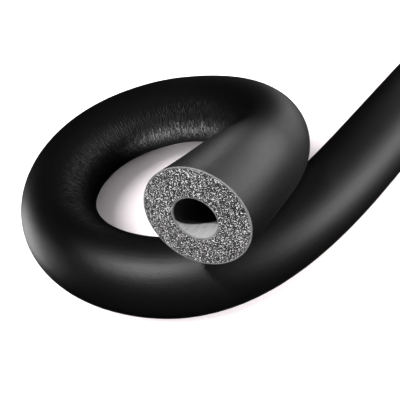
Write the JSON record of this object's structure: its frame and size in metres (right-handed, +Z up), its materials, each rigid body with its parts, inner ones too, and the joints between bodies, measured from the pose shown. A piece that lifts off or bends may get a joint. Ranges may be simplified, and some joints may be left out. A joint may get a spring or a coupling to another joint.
{
  "type": "pipe insulation lagging",
  "caption": "Length of black closed-cell foam tube with a round bore, one end curled in a loop over its own straight run, for lagging a pipe.",
  "frame": {"origin": "on the floor, under the middle of the laid tube's outline", "axes": "+X along the straight run towards its far end, +Z up, the loop lies on the +Y side of the run"},
  "size_m": [0.6426, 0.1838, 0.1162],
  "materials": {
    "elastomeric_foam": "satin black extruded skin, matt grey open cells on the cut faces"
  },
  "bodies": {
    "root": {"foam_tube": "elastomeric_foam"}
  },
  "joints": []
}
